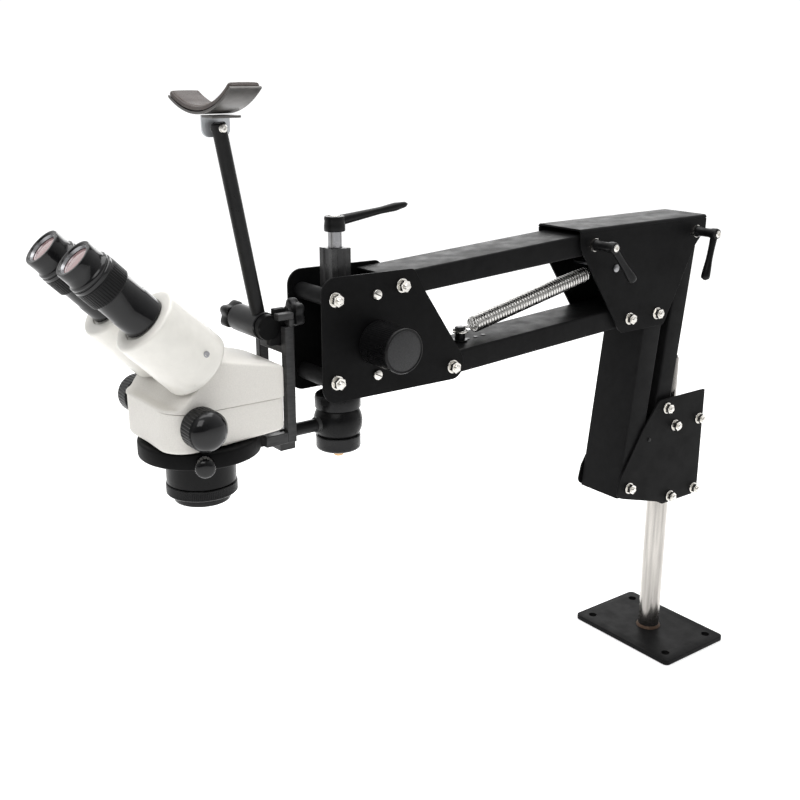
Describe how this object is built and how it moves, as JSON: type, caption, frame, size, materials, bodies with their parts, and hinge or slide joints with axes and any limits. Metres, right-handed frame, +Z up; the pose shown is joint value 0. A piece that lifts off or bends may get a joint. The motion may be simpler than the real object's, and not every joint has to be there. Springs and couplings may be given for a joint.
{
  "type": "stereo microscope on articulated bench arm",
  "caption": "Stereo microscope on a two-stage sprung parallelogram arm with a column on a bolt-down base, rack focus, ball joint and padded headrest.",
  "frame": {"origin": "on the base plate's underside, on the column's axis", "axes": "+Z up along the column, +X from the microscope towards the column, -Y the side with the focus knob"},
  "size_m": [0.768, 0.152, 0.6634],
  "materials": {
    "black_powder_coat": "satin black powder coat, fine orange peel",
    "polished_column": "polished stainless steel with faint turning lines",
    "zinc_hardware": "bright zinc plate, light scuffs",
    "spring_steel": "bright drawn wire",
    "black_anodised": "satin black anodised",
    "steel": "machined steel",
    "grey_frame": "grey satin steel",
    "light_bracket": "light grey satin sheet",
    "black_plastic": "satin black moulding",
    "gloss_black": "black, glossy on the domes",
    "ivory_shell": "fine textured ivory paint",
    "brown_leather": "dark brown leather on foam",
    "coated_glass": "coated optical glass"
  },
  "bodies": {
    "base": {"base_plate": "black_powder_coat", "column": "polished_column"},
    "lower_bracket": {"lower_bracket_plate_near": "black_powder_coat", "lower_bracket_plate_far": "black_powder_coat", "clamp_block_lower": "black_powder_coat", "clamp_block_upper": "black_powder_coat", "tube_foot_bolt": "zinc_hardware", "link_foot_bolt": "zinc_hardware"},
    "lower_tube": {"main_tube": "black_powder_coat"},
    "lower_link": {"rear_link": "black_powder_coat"},
    "elbow": {"elbow_housing": "black_powder_coat", "beam_rear_bolt": "zinc_hardware", "tube_head_bolt": "zinc_hardware", "spring_pin": "zinc_hardware"},
    "front_lever": {"clamp_lever_front": "black_plastic"},
    "rear_lever": {"clamp_lever_rear": "black_plastic"},
    "lower_arm_beam": {"lower_beam": "black_powder_coat", "spring_post": "zinc_hardware", "balance_spring": "spring_steel"},
    "upper_arm_beam": {"upper_beam": "black_powder_coat"},
    "head": {"head_plate_near": "black_powder_coat", "head_plate_far": "black_powder_coat", "upper_front_bolt": "zinc_hardware", "lower_front_bolt": "zinc_hardware", "head_spacer_upper": "zinc_hardware", "head_spacer_lower": "zinc_hardware", "pinion_block": "black_anodised"},
    "mast": {"focus_mast": "black_anodised", "draw_rod": "steel"},
    "focus_drive": {"focus_pinion": "steel", "focus_knob": "black_plastic"},
    "top_lever": {"top_clamp_lever": "black_plastic"},
    "ball_cups": {"ball_cup": "black_anodised", "ball_cap": "black_anodised"},
    "ball": {"ball_joint": "black_plastic"},
    "carrier": {"carrier_frame": "grey_frame", "holder_ring": "black_powder_coat", "headrest_clamp": "black_powder_coat"},
    "rear_star_knob": {"carrier_star_knob": "black_plastic"},
    "headrest_arm": {"tilt_sleeve": "grey_frame", "headrest_post": "black_powder_coat"},
    "side_star_knob": {"tilt_star_knob": "black_plastic"},
    "headrest": {"cradle_bracket": "light_bracket", "cradle_plate": "grey_frame", "cradle_pad": "brown_leather"},
    "ring_thumbscrew": {"ring_screw": "black_plastic"},
    "microscope": {"lower_casing": "ivory_shell", "top_cover": "ivory_shell", "objective_barrel": "black_anodised", "objective_ring": "black_anodised", "objective_lens": "coated_glass"},
    "zoom": {"zoom_knobs": "gloss_black"},
    "binocular_near": {"prism_housing_near": "ivory_shell", "eyepiece_near": "gloss_black", "eye_lens_near": "coated_glass"},
    "binocular_far": {"prism_housing_far": "ivory_shell", "eyepiece_far": "gloss_black", "eye_lens_far": "coated_glass"},
    "diopter_near": {"diopter_ring_near": "black_plastic"},
    "diopter_far": {"diopter_ring_far": "black_plastic"}
  },
  "joints": [
    {"name": "column_swivel", "type": "hinge", "parent": "base", "child": "lower_bracket", "pos_m": [0, 0, 0.236], "axis": [0, 0, 1], "continuous": true},
    {"name": "lower_arm_lean", "type": "hinge", "parent": "lower_bracket", "child": "lower_tube", "pos_m": [-0.0888, 0, 0.2194], "axis": [0, 1, 0], "range_deg": [-40, 1]},
    {"name": "lower_link_lean", "type": "hinge", "parent": "lower_bracket", "child": "lower_link", "pos_m": [-0.0328, 0, 0.3034], "axis": [0, 1, 0], "range_deg": [-40, 1]},
    {"name": "elbow_level", "type": "hinge", "parent": "lower_tube", "child": "elbow", "pos_m": [-0.0625, 0, 0.417], "axis": [0, 1, 0], "range_deg": [-1, 40]},
    {"name": "arm_lift", "type": "hinge", "parent": "elbow", "child": "lower_arm_beam", "pos_m": [-0.1061, 0, 0.4169], "axis": [0, 1, 0], "range_deg": [-35, 11], "deforming": ["balance_spring"]},
    {"name": "upper_beam_lift", "type": "hinge", "parent": "elbow", "child": "upper_arm_beam", "pos_m": [-0.1656, 0, 0.5012], "axis": [0, 1, 0], "range_deg": [-35, 11]},
    {"name": "head_level", "type": "hinge", "parent": "lower_arm_beam", "child": "head", "pos_m": [-0.3471, 0, 0.4034], "axis": [0, 1, 0], "range_deg": [-11, 35]},
    {"name": "focus_travel", "type": "slide", "parent": "head", "child": "mast", "axis": [0, 0, 1], "range_m": [-0.03, 0.009]},
    {"name": "focus_knob_turn", "type": "hinge", "parent": "head", "child": "focus_drive", "pos_m": [-0.437, 0, 0.441], "axis": [0, 1, 0], "range_deg": [-215, 65]},
    {"name": "top_lever_turn", "type": "hinge", "parent": "mast", "child": "top_lever", "pos_m": [-0.4585, 0, 0.537], "axis": [0, 0, 1], "range_deg": [-60, 60]},
    {"name": "ball_swivel", "type": "hinge", "parent": "mast", "child": "ball_cups", "pos_m": [-0.4585, 0, 0.365], "axis": [0, 0, 1], "range_deg": [-50, 50]},
    {"name": "ball_tilt", "type": "hinge", "parent": "ball_cups", "child": "ball", "pos_m": [-0.4585, 0, 0.365], "axis": [0, 1, 0], "range_deg": [-12, 8]},
    {"name": "boom_roll", "type": "hinge", "parent": "ball", "child": "carrier", "pos_m": [-0.525, 0, 0.365], "axis": [1, 0, 0], "range_deg": [-8, 8]},
    {"name": "scope_turn", "type": "hinge", "parent": "carrier", "child": "microscope", "pos_m": [-0.5975, 0, 0.365], "axis": [0, 0, 1], "range_deg": [-25, 25]},
    {"name": "ring_screw_turn", "type": "hinge", "parent": "carrier", "child": "ring_thumbscrew", "pos_m": [-0.61821, -0.04879, 0.373], "axis": [0.3907, 0.9205, 0], "range_deg": [-180, 180]},
    {"name": "zoom_turn", "type": "hinge", "parent": "microscope", "child": "zoom", "pos_m": [-0.622, 0, 0.405], "axis": [0, 1, 0], "range_deg": [-120, 120]},
    {"name": "ipd_near", "type": "hinge", "parent": "microscope", "child": "binocular_near", "pos_m": [-0.6225, -0.032, 0.4334], "axis": [-0.7071, 0, 0.7071], "range_deg": [-8, 8]},
    {"name": "ipd_far", "type": "hinge", "parent": "microscope", "child": "binocular_far", "pos_m": [-0.6225, 0.032, 0.4334], "axis": [-0.7071, 0, 0.7071], "range_deg": [-8, 8]},
    {"name": "diopter_near_turn", "type": "hinge", "parent": "binocular_near", "child": "diopter_near", "pos_m": [-0.6832, -0.032, 0.5223], "axis": [-0.7071, 0, 0.7071], "range_deg": [-60, 60]},
    {"name": "diopter_far_turn", "type": "hinge", "parent": "binocular_far", "child": "diopter_far", "pos_m": [-0.6832, 0.032, 0.5223], "axis": [-0.7071, 0, 0.7071], "range_deg": [-60, 60]},
    {"name": "headrest_tilt", "type": "hinge", "parent": "carrier", "child": "headrest_arm", "pos_m": [-0.5355, 0, 0.465], "axis": [0, 1, 0], "range_deg": [-25, 25]},
    {"name": "side_star_turn", "type": "hinge", "parent": "headrest_arm", "child": "side_star_knob", "pos_m": [-0.5355, 0.045, 0.465], "axis": [0, 1, 0], "range_deg": [-180, 180]},
    {"name": "rear_star_turn", "type": "hinge", "parent": "carrier", "child": "rear_star_knob", "pos_m": [-0.51, -0.0129, 0.474], "axis": [1, 0, 0], "range_deg": [-180, 180]},
    {"name": "cradle_tilt", "type": "hinge", "parent": "headrest_arm", "child": "headrest", "pos_m": [-0.56543, 0, 0.62726], "axis": [0, 1, 0], "range_deg": [-20, 20]},
    {"name": "front_lever_turn", "type": "hinge", "parent": "elbow", "child": "front_lever", "pos_m": [-0.1656, -0.055, 0.5012], "axis": [0, 1, 0], "range_deg": [-60, 60]},
    {"name": "rear_lever_turn", "type": "hinge", "parent": "elbow", "child": "rear_lever", "pos_m": [-0.0065, -0.055, 0.501], "axis": [0, 1, 0], "range_deg": [-60, 60]}
  ],
  "couplings": [
    {"joint": "lower_link_lean", "follows": "lower_arm_lean", "ratio": 1},
    {"joint": "elbow_level", "follows": "lower_arm_lean", "ratio": -1},
    {"joint": "upper_beam_lift", "follows": "arm_lift", "ratio": 1},
    {"joint": "head_level", "follows": "arm_lift", "ratio": -1},
    {"joint": "focus_knob_turn", "follows": "focus_travel", "rad_per_m": 125},
    {"joint": "ipd_far", "follows": "ipd_near", "ratio": -1}
  ]
}
